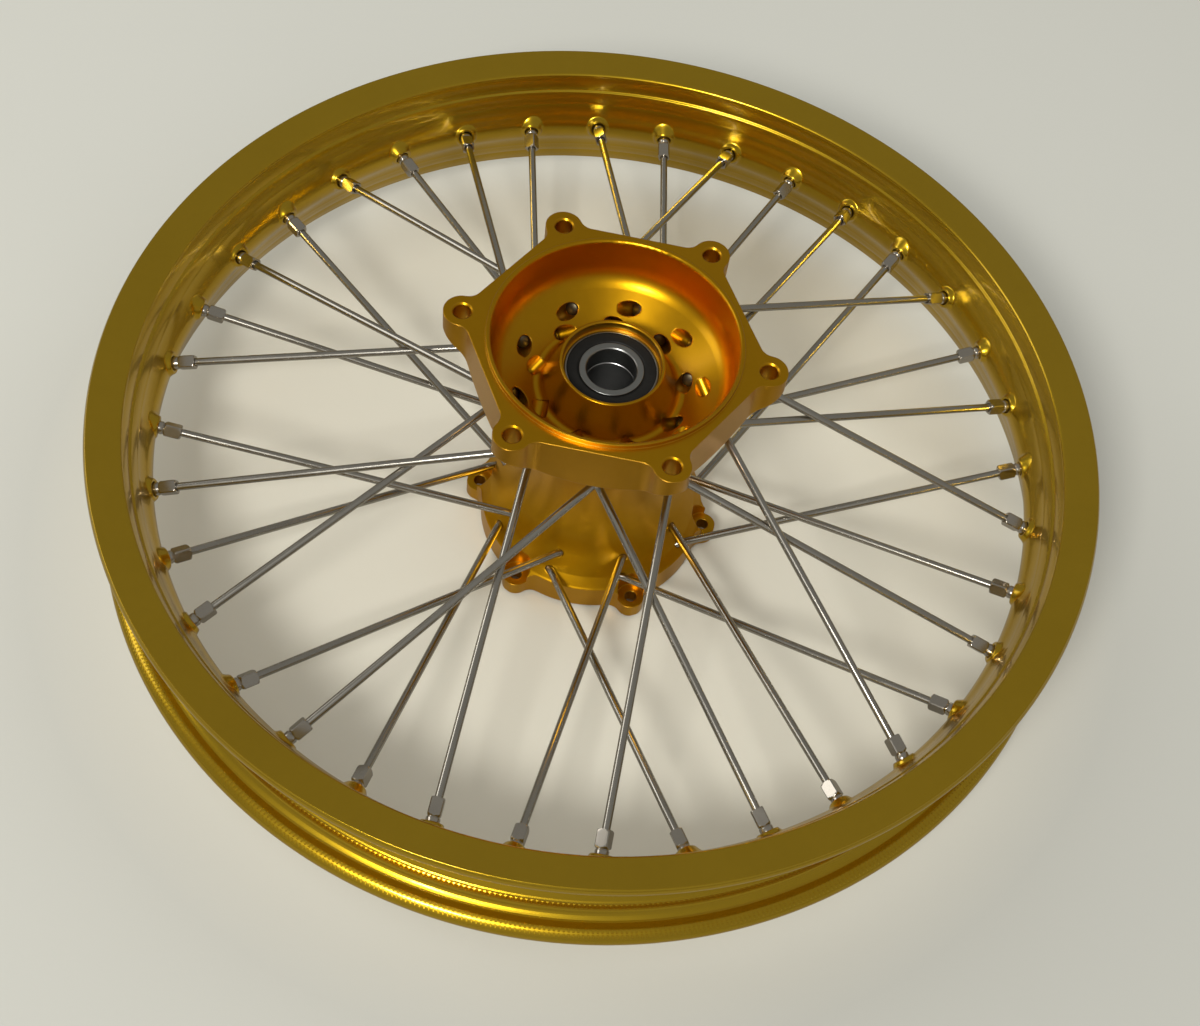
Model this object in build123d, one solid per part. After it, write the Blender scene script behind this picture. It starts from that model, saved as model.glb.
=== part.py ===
from build123d import *
import math
import os
from typing import NamedTuple

# Spoked rear off-road motorcycle wheel, built as separate pieces in millimetres.
# Working layout: axle along Z, sprocket side at +Z, rim mid-plane at Z = 0.
# Every piece is turned when written, so that the axle lies along Y with the
# sprocket side toward -Y and the wheel's centre at the origin.
# Profiles are (r, z) points: distance from the axis of revolution, height along it.
# "Outward" means toward the rim, "inward" toward the bowls of the hub.

os.makedirs("parts", exist_ok=True)

# ---------------------------------------------------------------- dimensions
# rim (19 x 2.15 class)
RIM_R = 255.5            # flange tip
RIM_HALF_W = 36.0
SIDE_INNER_R = 238.8     # inner edge of the side face, which leans in by 9 degrees
SIDE_INNER_Z = 33.55
BED_R = 226.6            # crown of the nipple bed, hub side
WELL_R = 231.0           # floor of the drop centre
BEAD_R = 241.3           # bead seat
FLANGE_IN_Z = 27.3       # inner face of the tyre flange
BEAD_FILLET = 6.6        # between bead seat and flange
DIMPLE_R = 225.4         # hub-side tip of the nipple dimples
VALVE_HOLE_D = 8.3
RIMLOCK_HOLE_D = 8.5

# lacing
SPOKES_PER_GROUP = 9
SPOKE_STEP = 360 / SPOKES_PER_GROUP
NIPPLE_PITCH = SPOKE_STEP / 4
NIPPLE_PHASE = 160.8     # angle of nipple number 1
NIPPLE_Z_MID = 1.6       # middle of the nipple rows, towards the sprocket
NIPPLE_Z = 1.2           # nipples sit this far to either side of that line
VALVE_ANGLE = NIPPLE_PHASE + NIPPLE_PITCH * 8.5
RIMLOCK_ANGLE = VALVE_ANGLE + SPOKE_STEP

# spokes
SPOKE_R = 2.0
BEND_OUT = 3.0           # bend sits this far outside the hub hole
BEND_R = 12.0
SPOKE_HOLE_R = SPOKE_R + 0.15
HEAD_R = 3.6
HEAD_T = 2.0
COUNTERBORE_R = 4.1
COUNTERBORE_DEPTH = 7.0

# hub, ears and both flanges
EAR_PHASE = 50.6         # angle of the first ear
EAR_N = 6
EAR_STEP = 360 / EAR_N
EAR_BLEND_R = 7.0
WAIST_END_R = 48.5       # the waist spline starts and ends at this radius

# hub, sprocket side
SPROCKET_FACE_Z = 91.5
SPROCKET_BOLTS_R = 75.0
SPROCKET_HOLE_R = 4.25
SPROCKET_EAR_R = 9.2
SPROCKET_BLANK_R = 85.5  # flange radius before the outline is cut
HEX_APOTHEM = 66.4
PILOT_R = 62.5
PILOT_TOP_Z = SPROCKET_FACE_Z + 2.5
BOWL_R = 60.0
UNDERSIDE_SLOPE = 0.965  # rise of the flange's underside per unit of radius
UNDERSIDE_Z = 46.9       # its height at the end of the waist
SEAL_SEAT_R = 24.3
SPROCKET_LIP_Z = 75.0

# hub, disc side
DISC_FACE_Z = -60.5
DISC_EAR_TOP_Z = -51.7
DISC_BOLTS_R = 62.0
DISC_HOLE_R = 3.2
DISC_EAR_R = 7.0
DISC_BODY_R = 59.8
DISC_BLANK_R = DISC_BODY_R + 9.0
DISC_PILOT_R = 54.0
DISC_PILOT_Z = DISC_FACE_Z - 2.0
DISC_BOWL_R = 50.5
DISC_SEAL_SEAT_R = 23.9
DISC_LIP_Z = -58.5
EAR_FLAT_R = 7.4         # round cutter that flattens the back of each disc ear

# hub core
POCKET_R = 23.5          # bearing pockets
SHOULDER_R = 21.0
CORE_R = 24.0            # bore between the bearing shoulders

# bearings, 25 x 47 x 12
BEARING_BORE_R = 12.5
BEARING_OUTER_R = POCKET_R - 0.01
BEARING_HALF_W = 6.0
INNER_RING_R = 16.0      # outside of the inner ring
OUTER_RING_R = 20.1      # inside of the outer ring
SEAL_GROOVE_R = 22.25
BALL_R = 3.175
BALL_PITCH_R = 18.0
BALLS = 10
RACE_CLEAR = 0.045
CAGE_HALF_T = 1.0
CAGE_HALF_W = 3.9
CAGE_CLEAR = 0.1
SPROCKET_BEARING_Z = 63.4    # bearing mid-planes
DISC_BEARING_Z = -47.0
SPROCKET_BEARING_OUT_Z = SPROCKET_BEARING_Z + BEARING_HALF_W
SPROCKET_BEARING_IN_Z = SPROCKET_BEARING_Z - BEARING_HALF_W
DISC_BEARING_IN_Z = DISC_BEARING_Z + BEARING_HALF_W
DISC_BEARING_OUT_Z = DISC_BEARING_Z - BEARING_HALF_W
TUBE_R = 15.9
TUBE_BORE_R = 12.6


# ------------------------------------------------------------------ helpers
def polar(r, degrees, z):
    angle = math.radians(degrees)
    return Vector(r * math.cos(angle), r * math.sin(angle), z)


def turned(points):
    """Solid of revolution about Z from a closed profile."""
    outline = Polyline(*[(r, 0, z) for r, z in points], close=True)
    return revolve(make_face(outline), Axis.Z, 360)


def arc(*points):
    """Edges of the arc through three profile points."""
    return ThreePointArc(*[(r, 0, z) for r, z in points]).edges()


def line(*points):
    """Edges of the open polyline through the profile points."""
    return Polyline(*[(r, 0, z) for r, z in points]).edges()


def disc(radius, z, height):
    """Cylinder on the Z axis standing on height z."""
    return extrude(Plane.XY.offset(z) * Circle(radius), height)


def rod(start, end, radius):
    length = end - start
    base = Plane(origin=start, z_dir=length.normalized())
    return extrude(base * Circle(radius), length.length)


def around(shape, step=SPOKE_STEP, count=SPOKES_PER_GROUP):
    return [Rot(0, 0, step * i) * shape for i in range(count)]


def write(name, shapes):
    """Turn the pieces into the final frame and write one STEP file."""
    solids = []
    for shape in shapes:
        solids += (Rot(90, 0, 0) * shape).solids()
    body = Compound(label=name, children=solids) if len(solids) > 1 else solids[0]
    body.label = name
    export_step(body, "parts/" + name + ".step")


# ------------------------------------------------------------------- lacing
# name: first nipple number, hole mouth on the outside of the hub (r, z, angle
# from the nipple), hole mouth inside the bowl (same), side of the nipple line.
GROUPS = {
    "sprocket_outer_row": (8, (55.0, 52.6, 34.6), (46.0, 61.0, 47.6), 1),
    "sprocket_inner_row": (10, (48.5, 46.6, -28.7), (38.0, 56.0, -44.8), 1),
    "disc_inner_row": (3, (48.5, -31.3, 28.0), (36.6, -39.0, 42.6), -1),
    "disc_outer_row": (9, (55.0, -39.9, -34.5), (46.1, -47.4, -46.9), -1),
}


class Lace(NamedTuple):
    """Line of the first spoke in a group."""
    tip: Vector        # dimple tip at the rim
    bend: Vector       # corner of the bend
    mouth: Vector      # hole mouth inside the bowl
    seat: Vector       # floor of the counterbore, under the head
    outward: Vector    # direction from bend to rim
    inward: Vector     # direction from bend to bowl


def lace(first, outer_mouth, inner_mouth, side):
    nipple_angle = NIPPLE_PHASE + NIPPLE_PITCH * (first - 1)

    def mouth_point(mouth):
        r, z, offset = mouth
        return polar(r, nipple_angle + offset, z)

    tip = polar(DIMPLE_R, nipple_angle, NIPPLE_Z_MID + side * NIPPLE_Z)
    outside = mouth_point(outer_mouth)
    inside = mouth_point(inner_mouth)
    outward = (tip - outside).normalized()
    bend = outside + outward * BEND_OUT
    inward = (inside - bend).normalized()
    return Lace(tip, bend, inside, inside - inward * COUNTERBORE_DEPTH, outward, inward)


lacing = {name: lace(*row) for name, row in GROUPS.items()}


def spoke(run):
    """Straight-shanked spoke, bent just outside the hub, headed in the bowl."""
    start = run.seat + run.inward * 0.5
    end = run.tip + run.outward * 1.5
    cosine = (run.inward * -1).dot(run.outward)
    half = math.acos(max(-1.0, min(1.0, cosine))) / 2
    reach = BEND_R * math.tan(half)
    bend_start = run.bend + run.inward * reach
    bend_end = run.bend + run.outward * reach
    to_centre = (run.inward + run.outward).normalized()
    bend_mid = run.bend + to_centre * (BEND_R / math.cos(half) - BEND_R)
    path = Wire([
        Edge.make_line(start, bend_start),
        Edge.make_three_point_arc(bend_start, bend_mid, bend_end),
        Edge.make_line(bend_end, end),
    ])
    shank = sweep(Plane(origin=start, z_dir=run.inward * -1) * Circle(SPOKE_R), path=path)
    head = turned([
        (0, 0.03), (HEAD_R - 0.3, 0.03), (HEAD_R, 0.33), (HEAD_R, HEAD_T - 0.5),
        (HEAD_R * 0.72, HEAD_T + 0.1), (HEAD_R * 0.4, HEAD_T + 0.45), (0, HEAD_T + 0.55),
    ])
    return shank + Plane(origin=run.seat, z_dir=run.inward).location * head


def spoke_cutters(run):
    """Hub hole on each side of the bend, and the counterbore for the head."""
    return [
        rod(run.bend - run.inward * 0.6, run.seat + run.inward * 1.0, SPOKE_HOLE_R),
        rod(run.bend - run.outward * 0.6, run.bend + run.outward * 14, SPOKE_HOLE_R),
        rod(run.seat, run.mouth + run.inward * 4.5, COUNTERBORE_R),
    ]


def nipple():
    """Nipple with its origin at the dimple tip and +Z away from the hub."""
    collar = turned([
        (0, -3.0), (2.9, -3.0), (3.35, -2.5), (3.35, 3.5), (4.3, 3.5),
        (4.6, 3.9), (4.6, 4.9), (3.9, 5.9), (2.6, 6.4), (0, 6.5),
    ])
    square = extrude(Plane.XY.offset(-11.6) * RectangleRounded(6.3, 6.3, 0.5), 9.4)
    envelope = turned([
        (0, -11.7), (2.9, -11.7), (3.95, -10.4), (3.95, -3.4), (3.35, -2.2), (0, -2.2),
    ])
    body = collar + (square & envelope)
    body -= disc(SPOKE_R + 0.06, -14, 24)
    body -= Pos(0, 0, 6.4) * Box(12, 1.2, 2.2)  # slot across the head
    return body


def at_tip(shape, run):
    """Stand a +Z shape on the dimple tip along the spoke's own line."""
    tangent = Vector(0, 0, 1).cross(run.outward).normalized()
    return Plane(origin=run.tip, x_dir=tangent, z_dir=run.outward).location * shape


# --------------------------------------------------------------------- rim
FILLET_R = BEAD_R + BEAD_FILLET          # where the bead fillet meets the flange
FILLET_Z = FLANGE_IN_Z - BEAD_FILLET     # where it meets the bead seat
FILLET_MID = BEAD_FILLET * math.sqrt(0.5)

# half of the section, from the bed crown round the flange to the well floor
RIM_HALF = [
    (arc, (BED_R, 0), (227.087, 3.75), (228.6, 7.4)),
    (line, (228.6, 7.4), (229.1, 8.3)),
    (arc, (229.1, 8.3), (230.7, 12.2), (231.7, 16.2)),
    (line, (231.7, 16.2), (232.1, 17.2)),
    (arc, (232.1, 17.2), (232.95, 20.2), (234.2, 23.2)),
    (line, (234.2, 23.2), (235.3, 24.0)),
    (arc, (235.3, 24.0), (236.0, 27.8), (237.3, 31.6)),
    (arc, (237.3, 31.6), (237.75, 32.85), (SIDE_INNER_R, SIDE_INNER_Z)),
    (line, (SIDE_INNER_R, SIDE_INNER_Z), (254.2, RIM_HALF_W), (254.5, RIM_HALF_W - 0.7)),
    (arc, (254.5, RIM_HALF_W - 0.7), (RIM_R, 32.6), (254.0, 29.6)),
    (arc, (254.0, 29.6), (251.8, 28.0), (249.0, FLANGE_IN_Z)),
    (line, (249.0, FLANGE_IN_Z), (FILLET_R, FLANGE_IN_Z)),
    (arc, (FILLET_R, FLANGE_IN_Z), (FILLET_R - FILLET_MID, FILLET_Z + FILLET_MID),
     (BEAD_R, FILLET_Z)),
    (line, (BEAD_R, FILLET_Z), (240.95, 19.3)),
    (arc, (240.95, 19.3), (241.3, 18.35), (240.3, 17.4)),
    (line, (240.3, 17.4), (232.9, 10.6)),
    (arc, (232.9, 10.6), (231.49, 8.6), (WELL_R, 6.2)),
    (line, (WELL_R, 6.2), (WELL_R, 0)),
]

# nipple seats, with the origin at the dimple tip and +Z away from the hub
DIMPLE = [
    (0, 0), (5.0, 0), (5.5, 0.35), (5.9, 1.1), (6.4, 2.3), (6.9, 3.6),
    (7.5, 5.2), (8.1, 7.2), (8.6, 9.4), (9.2, 12.5), (0, 12.5),
]
DIMPLE_POCKET = [
    (0, 3.42), (5.0, 3.42), (5.3, 3.9), (5.7, 5.2), (6.1, 7.0),
    (6.5, 9.5), (6.9, 12.5), (7.2, 18), (0, 18),
]
NIPPLE_HOLE = [(0, -1), (3.55, -1), (3.55, 6), (0, 6)]

# region on the hub side of the middle of the rim's wall
DIMPLE_TRIM = [
    (205, -17.5), (235.2, -17.5), (233.4, -14.2), (231.9, -11.4), (230.5, -8.4),
    (229.3, -5.5), (228.9, 0), (229.3, 5.5), (230.5, 8.4), (231.9, 11.4),
    (233.4, 14.2), (235.2, 17.5), (205, 17.5),
]


def rim():
    section = []
    for side in (1, -1):
        for draw, *points in RIM_HALF:
            section += draw(*[(r, side * z) for r, z in points])
    body = revolve(make_face(Wire(section)), Axis.Z, 360)

    # raised dimples leaning with each spoke, and the holes through them
    dimple, hole, pocket = turned(DIMPLE), turned(NIPPLE_HOLE), turned(DIMPLE_POCKET)
    dimples = []
    cuts = []
    for run in lacing.values():
        dimples += around(at_tip(dimple, run))
        cuts += around(at_tip(hole, run))
        cuts += around(at_tip(pocket, run))
    trim = turned(DIMPLE_TRIM)
    body = body + [raised & trim for raised in dimples]

    # valve and rim-lock holes, each half way between two nipples
    for angle, diameter in ((VALVE_ANGLE, VALVE_HOLE_D), (RIMLOCK_ANGLE, RIMLOCK_HOLE_D)):
        cuts.append(rod(polar(215, angle, 0), polar(235, angle, 0), diameter / 2))
    return body - cuts


# --------------------------------------------------------------------- hub
def underside(r):
    """Height of the sprocket flange's underside."""
    return UNDERSIDE_Z + UNDERSIDE_SLOPE * (r - WAIST_END_R)


def hub_blank():
    """Turned hub body, before its outlines and holes are cut."""
    disc_rim = (DISC_BLANK_R, DISC_FACE_Z)
    waist_low = (WAIST_END_R, -31.0)
    waist_top = (WAIST_END_R, underside(WAIST_END_R))
    waist = [
        waist_low, (42.6, -21.5), (38.2, -8.0), (36.6, 8.0), (37.6, 24.0), (41.6, 37.0),
        waist_top,
    ]
    edges = []
    # outside of the disc flange
    edges += line(disc_rim, (DISC_BLANK_R, -50.0), (61.5, -46.2), (59.0, -43.9),
                  (55.0, -39.5), waist_low)
    edges += Spline(*[(r, 0, z) for r, z in waist],
                    tangents=((-6.5, 0, 8.5), (1.0, 0, UNDERSIDE_SLOPE))).edges()
    # sprocket flange and its pilot ring
    edges += line(
        waist_top, (SPROCKET_BLANK_R, underside(SPROCKET_BLANK_R)),
        (SPROCKET_BLANK_R, SPROCKET_FACE_Z), (PILOT_R, SPROCKET_FACE_Z),
        (PILOT_R, PILOT_TOP_Z - 0.3), (PILOT_R - 0.3, PILOT_TOP_Z),
        (BOWL_R + 1.5, PILOT_TOP_Z),
    )
    # sprocket-side bowl: rounded lip, straight wall, cove, slope, valley, core wall
    edges += arc((BOWL_R + 1.5, PILOT_TOP_Z), (BOWL_R + 0.44, PILOT_TOP_Z - 0.44),
                 (BOWL_R, PILOT_TOP_Z - 1.5))
    edges += line((BOWL_R, PILOT_TOP_Z - 1.5), (BOWL_R, 77.6))
    edges += arc((BOWL_R, 77.6), (58.29, 70.91), (53.56, 65.84))
    edges += line((53.56, 65.84), (38.6, 56.26))
    edges += arc((38.6, 56.26), (35.6, 55.35), (33.0, 57.1))
    edges += arc((33.0, 57.1), (29.6, 64.6), (26.2, SPROCKET_LIP_Z - 0.7))
    edges += line(
        # sprocket-side lip, seal seat and bearing pocket
        (26.2, SPROCKET_LIP_Z - 0.7), (26.0, SPROCKET_LIP_Z - 0.25), (25.6, SPROCKET_LIP_Z),
        (SEAL_SEAT_R + 0.5, SPROCKET_LIP_Z), (SEAL_SEAT_R, SPROCKET_LIP_Z - 0.5),
        (SEAL_SEAT_R, SPROCKET_BEARING_OUT_Z), (POCKET_R, SPROCKET_BEARING_OUT_Z),
        (POCKET_R, SPROCKET_BEARING_IN_Z), (SHOULDER_R, SPROCKET_BEARING_IN_Z),
        # bore between the bearings
        (SHOULDER_R, 53.4), (CORE_R, 50.4), (CORE_R, -34.0), (SHOULDER_R, -37.0),
        # disc-side bearing pocket, seal seat and lip
        (SHOULDER_R, DISC_BEARING_IN_Z), (POCKET_R, DISC_BEARING_IN_Z),
        (POCKET_R, DISC_BEARING_OUT_Z), (DISC_SEAL_SEAT_R, DISC_BEARING_OUT_Z),
        (DISC_SEAL_SEAT_R, DISC_LIP_Z + 0.5), (DISC_SEAL_SEAT_R + 0.5, DISC_LIP_Z),
        (25.6, DISC_LIP_Z), (26.1, DISC_LIP_Z + 0.4),
        # disc-side bowl
        (30.6, -45.0), (32.6, -40.6), (34.4, -38.3), (36.0, -38.6), (46.1, -47.4),
        (49.0, -50.0), (50.1, -51.6), (DISC_BOWL_R, -53.6),
        # disc pilot ring and face
        (DISC_BOWL_R, DISC_PILOT_Z + 0.4), (DISC_BOWL_R + 0.4, DISC_PILOT_Z),
        (DISC_PILOT_R - 0.3, DISC_PILOT_Z), (DISC_PILOT_R, DISC_PILOT_Z + 0.3),
        (DISC_PILOT_R, DISC_FACE_Z), disc_rim,
    )
    return revolve(make_face(Wire(edges)), Axis.Z, 360)


def at_ear(index, r):
    """Location at radius r on the line of an ear."""
    point = polar(r, EAR_PHASE + EAR_STEP * index, 0)
    return Pos(point.X, point.Y, 0)


def eared(outline, bolts_r, ear_r):
    """Flange outline with a round ear at each bolt, blended into the body."""
    for i in range(EAR_N):
        outline += at_ear(i, bolts_r) * Circle(ear_r)
    face = outline.faces()[0]
    try:
        return fillet(list(face.vertices()), EAR_BLEND_R)
    except Exception:
        # guards against corners that cannot be rounded: the outline stays sharp
        return face


def bolt_cutters():
    """Bolt holes with chamfered mouths, and the flats behind the disc ears."""
    sprocket_hole = disc(SPROCKET_HOLE_R, 60, 40)
    sprocket_chamfer = turned([
        (0, SPROCKET_FACE_Z - 0.9), (SPROCKET_HOLE_R, SPROCKET_FACE_Z - 0.9),
        (SPROCKET_HOLE_R + 1.1, SPROCKET_FACE_Z + 0.2), (0, SPROCKET_FACE_Z + 0.2),
    ])
    disc_hole = disc(DISC_HOLE_R, -70, 30)
    disc_chamfer = turned([
        (0, DISC_FACE_Z + 0.6), (DISC_HOLE_R, DISC_FACE_Z + 0.6),
        (DISC_HOLE_R + 0.8, DISC_FACE_Z - 0.2), (0, DISC_FACE_Z - 0.2),
    ])
    ear_flat = disc(EAR_FLAT_R, DISC_EAR_TOP_Z, 12)
    cuts = []
    for i in range(EAR_N):
        cuts.append(at_ear(i, SPROCKET_BOLTS_R) * sprocket_hole)
        cuts.append(at_ear(i, SPROCKET_BOLTS_R) * sprocket_chamfer)
        cuts.append(at_ear(i, DISC_BOLTS_R) * disc_hole)
        cuts.append(at_ear(i, DISC_BOLTS_R) * disc_chamfer)
        cuts.append(at_ear(i, DISC_BOLTS_R) * ear_flat)
        cuts.append(at_ear(i, DISC_BOLTS_R + 7) * ear_flat)
    return cuts


def hub():
    body = hub_blank()
    hexagon = RegularPolygon(HEX_APOTHEM, EAR_N, major_radius=False, rotation=EAR_PHASE)
    top_outline = eared(hexagon, SPROCKET_BOLTS_R, SPROCKET_EAR_R)
    top_prism = extrude(Plane.XY.offset(30) * top_outline, 80)
    middle = disc(100, -36, 66.5)    # leaves the waist uncut
    low_outline = eared(Circle(DISC_BODY_R), DISC_BOLTS_R, DISC_EAR_R)
    low_prism = extrude(Plane.XY.offset(-80) * low_outline, 45)
    body = body & (top_prism + middle + low_prism)

    cuts = bolt_cutters()
    for run in lacing.values():
        for cutter in spoke_cutters(run):
            cuts += around(cutter)
    return body - cuts


# ------------------------------------------------------------------ bearings
def write_bearing(side, z_mid):
    half = BEARING_HALF_W
    races = Torus(BALL_PITCH_R, BALL_R + RACE_CLEAR)
    outer = turned([
        (SEAL_GROOVE_R, -half), (BEARING_OUTER_R - 0.6, -half), (BEARING_OUTER_R, -half + 0.6),
        (BEARING_OUTER_R, half - 0.6), (BEARING_OUTER_R - 0.6, half), (SEAL_GROOVE_R, half),
        (SEAL_GROOVE_R, half - 1.6), (OUTER_RING_R, half - 1.9),
        (OUTER_RING_R, -half + 1.9), (SEAL_GROOVE_R, -half + 1.6),
    ]) - races
    inner = turned([
        (BEARING_BORE_R + 0.5, -half), (INNER_RING_R - 0.2, -half), (INNER_RING_R, -half + 0.2),
        (INNER_RING_R, half - 0.2), (INNER_RING_R - 0.2, half), (BEARING_BORE_R + 0.5, half),
        (BEARING_BORE_R, half - 0.5), (BEARING_BORE_R, -half + 0.5),
    ]) - races
    balls = around(Pos(BALL_PITCH_R, 0, 0) * Sphere(BALL_R), 360 / BALLS, BALLS)
    cage_in_r = BALL_PITCH_R - CAGE_HALF_T
    cage_out_r = BALL_PITCH_R + CAGE_HALF_T
    cage = turned([
        (cage_in_r, -CAGE_HALF_W), (cage_out_r, -CAGE_HALF_W),
        (cage_out_r, CAGE_HALF_W), (cage_in_r, CAGE_HALF_W),
    ])
    pocket = Pos(BALL_PITCH_R, 0, 0) * Rot(0, 90, 0) * Cylinder(BALL_R + CAGE_CLEAR, 6)
    cage = cage - around(pocket, 360 / BALLS, BALLS)
    seal = turned([
        (INNER_RING_R + 0.05, half - 1.45), (22.05, half - 1.45), (22.15, half - 1.3),
        (22.15, half - 0.35), (21.6, half - 0.2), (17.2, half - 0.2), (16.7, half - 0.6),
        (INNER_RING_R + 0.05, half - 0.9),
    ])
    flipped = Rot(180, 0, 0) * seal
    outboard, inboard = (seal, flipped) if z_mid > 0 else (flipped, seal)
    pieces = {
        "outer_ring": [outer],
        "inner_ring": [inner],
        "balls": balls,
        "cage": [cage],
        "outboard_seal": [outboard],
        "inboard_seal": [inboard],
    }
    for name, shapes in pieces.items():
        write(side + "_bearing_" + name, [Pos(0, 0, z_mid) * shape for shape in shapes])


def distance_tube():
    """Tube between the two inner rings."""
    low, top = DISC_BEARING_IN_Z, SPROCKET_BEARING_IN_Z
    return turned([
        (TUBE_BORE_R + 0.4, low), (TUBE_R - 0.3, low), (TUBE_R, low + 0.3),
        (TUBE_R, top - 0.3), (TUBE_R - 0.3, top), (TUBE_BORE_R + 0.4, top),
        (TUBE_BORE_R, top - 0.4), (TUBE_BORE_R, low + 0.4),
    ])


# -------------------------------------------------------------------- output
write("rim", [rim()])
write("hub", [hub()])
nipple_shape = nipple()
for name, run in lacing.items():
    write("spokes_" + name, around(spoke(run)))
    write("nipples_" + name, around(at_tip(nipple_shape, run)))
write_bearing("sprocket", SPROCKET_BEARING_Z)
write_bearing("disc", DISC_BEARING_Z)
write("distance_tube", [distance_tube()])
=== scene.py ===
"""Gold spoked motorcycle wheel, lying on its disc side on a pale table.

The rim, spokes and nipples are built here. The hub, bearings and distance tube come from
the CAD pieces and only get finishes. The parts are laid out in millimetres with the axle
along Z and the sprocket side at +Z. In the shared frame (metres) the axle runs along Y:
the sprocket side is at -Y, towards the camera, and the table is at +Y.
"""
import math
from collections import namedtuple

import bmesh
import bpy
import numpy as np
from mathutils import Matrix, Vector


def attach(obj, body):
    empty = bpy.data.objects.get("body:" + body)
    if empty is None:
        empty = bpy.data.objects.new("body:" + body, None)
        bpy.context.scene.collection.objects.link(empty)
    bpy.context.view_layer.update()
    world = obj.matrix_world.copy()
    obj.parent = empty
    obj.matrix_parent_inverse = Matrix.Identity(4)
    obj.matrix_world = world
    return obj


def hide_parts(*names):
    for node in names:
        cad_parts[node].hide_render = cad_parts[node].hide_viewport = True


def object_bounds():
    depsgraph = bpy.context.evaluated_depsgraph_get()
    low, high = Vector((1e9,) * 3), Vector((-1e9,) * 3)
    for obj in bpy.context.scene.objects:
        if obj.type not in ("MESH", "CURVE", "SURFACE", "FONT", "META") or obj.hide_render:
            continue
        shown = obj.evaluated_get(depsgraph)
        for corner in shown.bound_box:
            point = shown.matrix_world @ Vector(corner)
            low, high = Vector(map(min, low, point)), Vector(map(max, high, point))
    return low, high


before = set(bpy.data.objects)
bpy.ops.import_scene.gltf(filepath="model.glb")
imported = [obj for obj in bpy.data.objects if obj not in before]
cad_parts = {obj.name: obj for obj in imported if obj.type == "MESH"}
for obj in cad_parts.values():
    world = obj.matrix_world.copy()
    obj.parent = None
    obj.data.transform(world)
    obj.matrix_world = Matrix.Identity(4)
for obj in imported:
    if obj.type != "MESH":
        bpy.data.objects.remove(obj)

REST_LO, REST_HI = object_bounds()
MM = 0.001
TAU = 2 * math.pi
scene = bpy.context.scene


# ------------------------------------------------------------------ geometry
def frame_axes(p):
    """Turn layout axes (axle along Z) to the shared frame's (axle along Y)."""
    p = np.asarray(p, float)
    return np.stack([p[..., 0], -p[..., 2], p[..., 1]], -1)


def to_frame(p):
    """Layout millimetres to shared-frame metres."""
    return frame_axes(p) * MM


def unit(v):
    v = np.asarray(v, float)
    return v / np.linalg.norm(v)


def polar(radius, degrees, z):
    angle = math.radians(degrees)
    return np.array([radius * math.cos(angle), radius * math.sin(angle), z])


def across(axis):
    """Two unit vectors square to an axis; the first has no Z part."""
    u = unit(np.cross([0, 0, 1], axis))
    return u, np.cross(axis, u)


# --------------------------------------------------------------- mesh making
def weighted_normals(points, faces):
    """Vertex normals weighted by face area, so flats stay flat beside fillets."""
    normals = np.zeros_like(points)
    for corners in (3, 4):
        ids = np.array([face for face in faces if len(face) == corners], int)
        p = points[ids]
        if corners == 3:
            face_normals = np.cross(p[:, 1] - p[:, 0], p[:, 2] - p[:, 0])
        else:
            face_normals = np.cross(p[:, 2] - p[:, 0], p[:, 3] - p[:, 1])
        for corner in range(corners):
            np.add.at(normals, ids[:, corner], face_normals)
    lengths = np.linalg.norm(normals, axis=1)
    lengths[lengths == 0] = 1      # grid points inside the drilled blocks have no faces
    return normals / lengths[:, None]


def mesh_piece(name, points, faces, material, slot, replaces=None, weighted=False,
               sharp_angle=None):
    """Mesh object on the wheel: weighted normals, smooth up to an angle, or flat."""
    verts = to_frame(points)
    faces = [tuple(int(i) for i in face) for face in faces]
    mesh = bpy.data.meshes.new(name)
    mesh.from_pydata(verts.tolist(), [], faces)
    mesh.validate()
    ob = bpy.data.objects.new(name, mesh)
    scene.collection.objects.link(ob)
    if weighted or sharp_angle:
        mesh.polygons.foreach_set("use_smooth", [True] * len(mesh.polygons))
    if weighted:
        normals = weighted_normals(verts * 1000, faces)      # in mm
        mesh.normals_split_custom_set_from_vertices(normals.tolist())
    elif sharp_angle:
        mesh.set_sharp_from_angle(angle=math.radians(sharp_angle))
    mesh.materials.append(material)
    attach(ob, "wheel")
    if replaces:
        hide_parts(replaces)
    return ob


def face_outward(ob):
    """Outward-facing faces on every shell."""
    bm = bmesh.new()
    bm.from_mesh(ob.data)
    bmesh.ops.recalc_face_normals(bm, faces=bm.faces)
    bm.to_mesh(ob.data)
    bm.free()


def loft_faces(rings, sides):
    """Quads between successive rings of points, and a cap at each end."""
    faces = []
    for i in range(rings - 1):
        for j in range(sides):
            k = (j + 1) % sides
            faces.append((i * sides + j, i * sides + k, (i + 1) * sides + k, (i + 1) * sides + j))
    faces.append(tuple(range(sides - 1, -1, -1)))
    faces.append(tuple((rings - 1) * sides + j for j in range(sides)))
    return faces


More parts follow.
